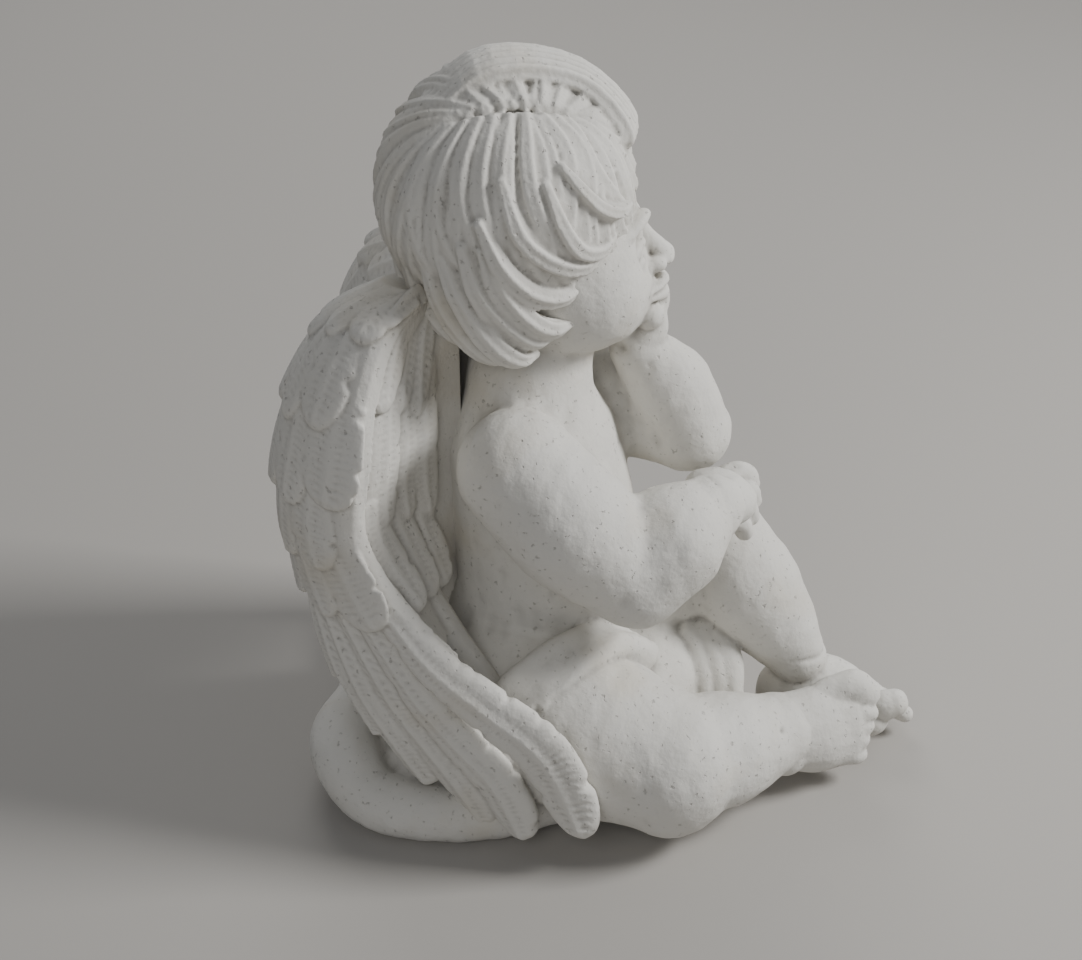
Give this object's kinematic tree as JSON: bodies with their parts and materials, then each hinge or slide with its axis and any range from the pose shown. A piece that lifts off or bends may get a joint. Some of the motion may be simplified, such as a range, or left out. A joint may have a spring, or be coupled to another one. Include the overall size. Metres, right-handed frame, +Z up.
{
  "type": "putto_statue",
  "caption": "Seated winged putto in weathered pale cast stone, chin resting on the left hand, right arm across the lap on the raised knee, cloth folded under and over the thighs.",
  "frame": {"origin": "middle of the footprint, on the ground plane the underside rests on", "axes": "+Z up, the child faces -Y, its right side is towards -X"},
  "size_m": [0.2144, 0.3032, 0.3547],
  "materials": {
    "pale_stone": "matte, pitted, with warm stains and grime in the hollows"
  },
  "bodies": {
    "root": {"putto_statue": "pale_stone"}
  },
  "joints": []
}
